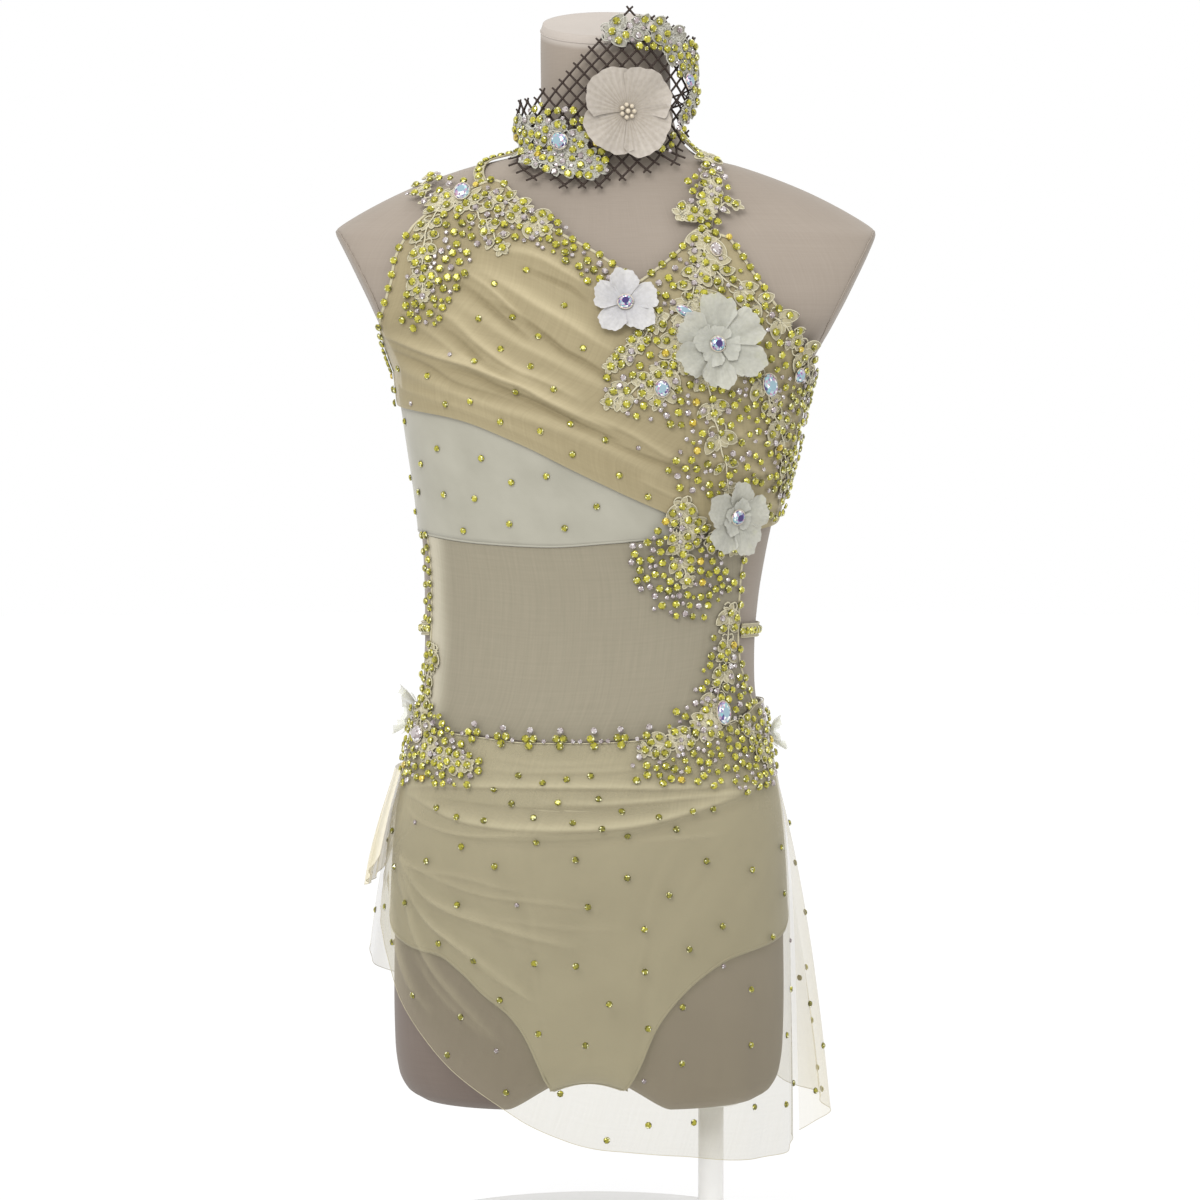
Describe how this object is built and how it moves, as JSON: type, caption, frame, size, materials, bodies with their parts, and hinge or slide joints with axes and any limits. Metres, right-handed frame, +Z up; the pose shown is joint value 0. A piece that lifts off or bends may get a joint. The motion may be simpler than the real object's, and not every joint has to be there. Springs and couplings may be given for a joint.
{
  "type": "lyrical dance dress on a limbless dress form",
  "caption": "One-shoulder halter dance dress with draped bust, sheer midriff, briefs and asymmetric skirt, worn by a limbless torso form on a pole and round base.",
  "frame": {"origin": "middle of the round base's underside", "axes": "+Z up along the torso, the front of the dress faces -Y, +X is to the right as seen from the front"},
  "size_m": [0.343, 0.3, 0.7855],
  "materials": {
    "linen": "grey-beige linen cover",
    "stand_paint": "white satin paint",
    "nude_mesh": "sheer nude stretch mesh",
    "white_lycra": "matt white stretch jersey",
    "cream_mesh": "sheer pale yellow stretch mesh",
    "briefs_lycra": "pale yellow stretch jersey",
    "lace": "corded lace",
    "net_cord": "dark brown cord net",
    "petal": "organza petals",
    "crystal": "faceted glass"
  },
  "bodies": {
    "root": {"dress_form": "linen", "stand_base": "stand_paint", "stand_pole": "stand_paint", "stand_collar": "stand_paint", "midriff_mesh": "nude_mesh", "bandeau_front": "white_lycra", "back_band": "white_lycra", "bust_drape": "cream_mesh", "bust_right": "cream_mesh", "halter_left": "cream_mesh", "halter_back": "cream_mesh", "halter_right": "cream_mesh", "waist_strap": "cream_mesh", "briefs_front": "briefs_lycra", "briefs_back": "briefs_lycra", "briefs_gusset": "briefs_lycra", "skirt_front": "cream_mesh", "skirt_back": "cream_mesh", "skirt_tail": "cream_mesh", "lace_shoulder_left": "lace", "lace_bust_right": "lace", "lace_under_bust": "lace", "lace_waist_right": "lace", "lace_hip_left": "lace", "lace_strap_right": "lace", "lace_neck_low": "lace", "lace_neck_high": "lace", "neck_net": "net_cord", "neck_tie": "net_cord", "flower_neckline": "petal", "flower_bust": "petal", "flower_ribs": "petal", "flower_neck": "petal", "flower_hip_left": "petal", "flower_hip_right": "petal", "crystal_shoulder": "crystal", "crystal_neckline": "crystal", "crystal_bust_inner": "crystal", "crystal_bust_low": "crystal", "crystal_bust_side": "crystal", "crystal_bust_edge": "crystal", "crystal_waist": "crystal", "crystal_hip": "crystal", "crystal_neck_low": "crystal", "crystal_neck_high": "crystal", "centre_neckline": "crystal", "centre_bust": "crystal", "centre_ribs": "crystal"}
  },
  "joints": []
}
